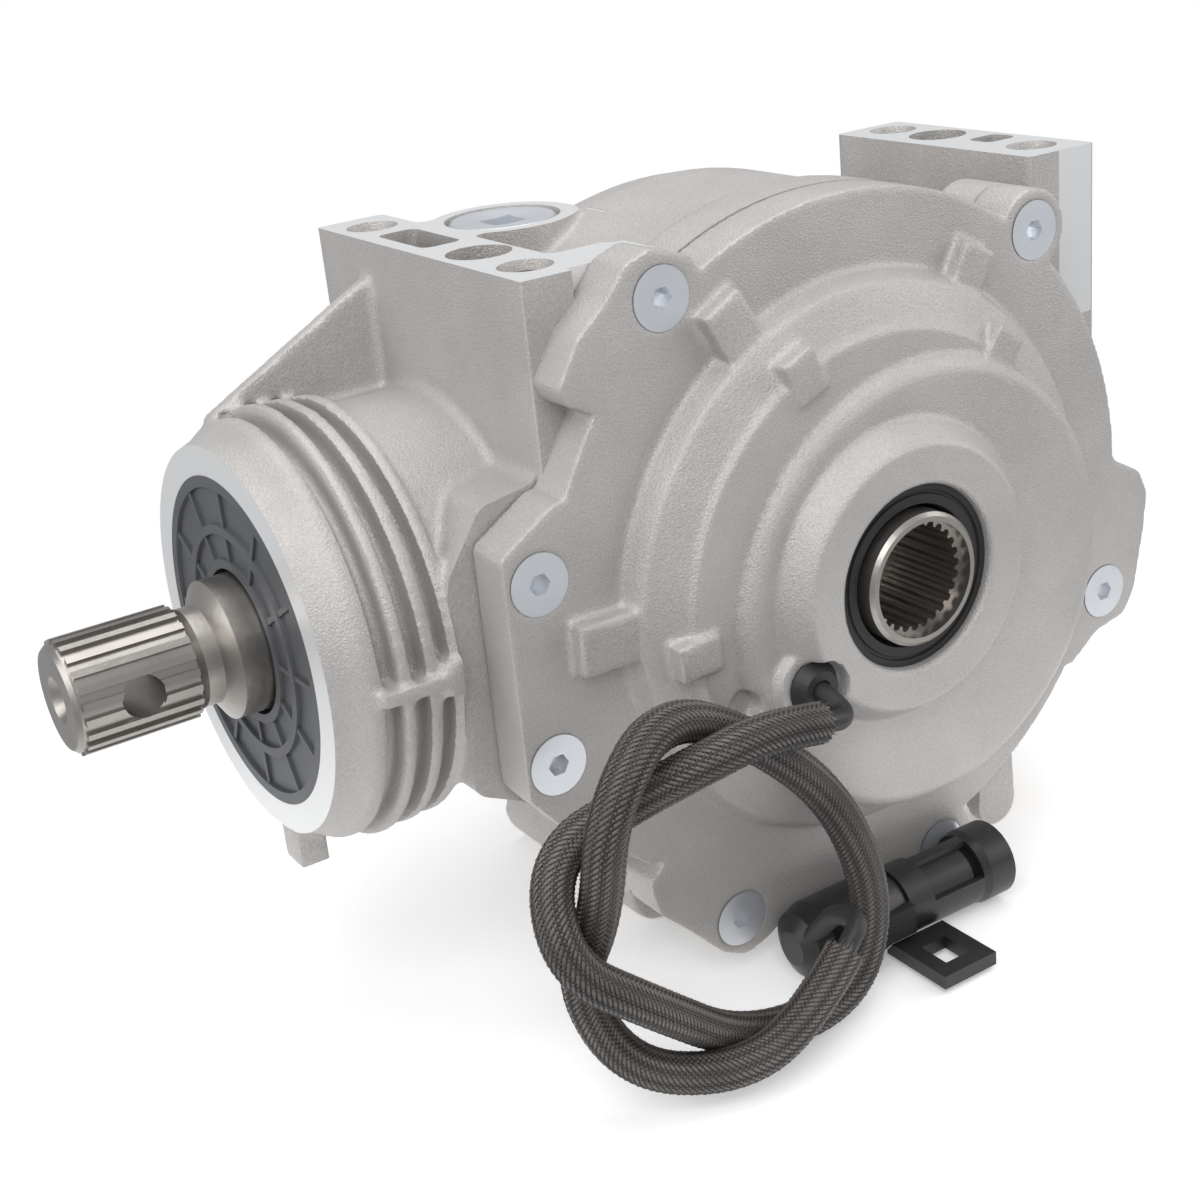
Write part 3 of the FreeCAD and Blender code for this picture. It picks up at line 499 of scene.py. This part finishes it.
for base, ahead, side, lift in ((frames[0][0], -frames[0][3], frames[0][1], frames[0][2]),
                                (frames[-1][0], frames[-1][3], frames[-1][1], frames[-1][2])):
    # loose hairs at the cut ends
    for hair in range(lead["hairs"]):
        turn = random.uniform(0, 2 * math.pi)
        out = side * math.cos(turn) + lift * math.sin(turn)
        root = base + out * random.uniform(*lead["hairRoot"]) - ahead * lead["hairStart"]
        tip = root + ahead * random.uniform(*lead["hairReach"]) + out * random.uniform(*lead["hairSpread"])
        width = out.cross(ahead).normalized() * lead["hairWidth"]
        start = len(verts)
        verts.extend([root - width, root + width, tip])
        faces.append((start, start + 1, start + 2))
        tones.append(False)
braidMesh = bpy.data.meshes.new("leadBraid")
braidMesh.from_pydata([tuple(v) for v in verts], [], faces)
leadBraid = bpy.data.objects.new("leadBraid", braidMesh)
bpy.context.collection.objects.link(leadBraid)
braidMesh.materials.append(finish("braidLight", (0.11, 0.096, 0.088), 0.36, 0.0, 2600, 0.05, 0.3)[0])
braidMesh.materials.append(finish("braidDark", (0.026, 0.023, 0.021), 0.42, 0.0, 2600, 0.05, 0.3)[0])
for polygon, dark in zip(braidMesh.polygons, tones):
    polygon.material_index = int(dark)
clearSelection()
leadBraid.select_set(True)
bpy.context.view_layer.objects.active = leadBraid
bpy.ops.object.shade_smooth()
for piece in (leadSleeve, leadBraid):
    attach(piece, "case")
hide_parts("lead_sleeve")
print("lead made", len(faces))

# floor, lights and the white backdrop
backdrop = {
    "size": 6,
    "height": -0.0907,
    "paint": (0.95, 0.95, 0.95, 1),
    "rough": 0.7,
    "glow": 0.25,
    "fade": (0.12, 0.30),
    "skyLight": (0.42, 0.43, 0.44, 1),
    "skySeen": (1, 1, 1, 1),
}
clearSelection()
bpy.ops.mesh.primitive_plane_add(size=backdrop["size"], location=(0, 0, backdrop["height"]))
floor = bpy.context.object
floor.name = "studioFloor"
floorLook, parts, links, shader = nodeMaterial("floorPaint")
shader.inputs["Base Color"].default_value = backdrop["paint"]
shader.inputs["Roughness"].default_value = backdrop["rough"]
shader.inputs["Emission Color"].default_value = (1, 1, 1, 1)
shader.inputs["Emission Strength"].default_value = backdrop["glow"]
coords = parts.new("ShaderNodeTexCoord")
reach = parts.new("ShaderNodeVectorMath")
reach.operation = "LENGTH"
links.new(coords.outputs["Object"], reach.inputs[0])
fade = parts.new("ShaderNodeMapRange")
fade.interpolation_type = "SMOOTHSTEP"
fade.inputs["From Min"].default_value = backdrop["fade"][0]
fade.inputs["From Max"].default_value = backdrop["fade"][1]
fade.inputs["To Min"].default_value = 1
fade.inputs["To Max"].default_value = 0
links.new(reach.outputs["Value"], fade.inputs["Value"])
links.new(fade.outputs["Result"], shader.inputs["Alpha"])
floor.data.materials.append(floorLook)
lights = [
    {"name": "keyLight", "place": (-0.55, -0.65, 0.75), "size": 0.7, "power": 5.6},
    {"name": "topLight", "place": (0.1, 0.1, 0.95), "size": 0.9, "power": 5.4},
    {"name": "rightLight", "place": (0.8, -0.5, 0.35), "size": 0.6, "power": 2.6},
    {"name": "leftLight", "place": (-0.9, 0.1, 0.3), "size": 0.6, "power": 2.8},
]
for lamp in lights:
    bpy.ops.object.light_add(type="AREA", location=lamp["place"])
    light = bpy.context.object
    light.name = lamp["name"]
    light.data.size = lamp["size"]
    light.data.energy = lamp["power"]
    light.rotation_euler = (-Vector(lamp["place"])).to_track_quat("-Z", "Y").to_euler()
world = bpy.data.worlds.new("studio")
bpy.context.scene.world = world
world.use_nodes = True
tree = world.node_tree
background = tree.nodes["Background"]
rays = tree.nodes.new("ShaderNodeLightPath")
bright = mathNode(tree, "MAXIMUM", rays.outputs["Is Camera Ray"], rays.outputs["Is Transmission Ray"])
tone = tree.nodes.new("ShaderNodeMix")
tone.data_type = "RGBA"
tone.inputs[6].default_value = backdrop["skyLight"]
tone.inputs[7].default_value = backdrop["skySeen"]
tree.links.new(bright, tone.inputs[0])
tree.links.new(tone.outputs[2], background.inputs["Color"])
bpy.context.scene.view_settings.view_transform = "Standard"
bpy.context.scene.render.resolution_x = 1200
bpy.context.scene.render.resolution_y = 1200
print("stage set")
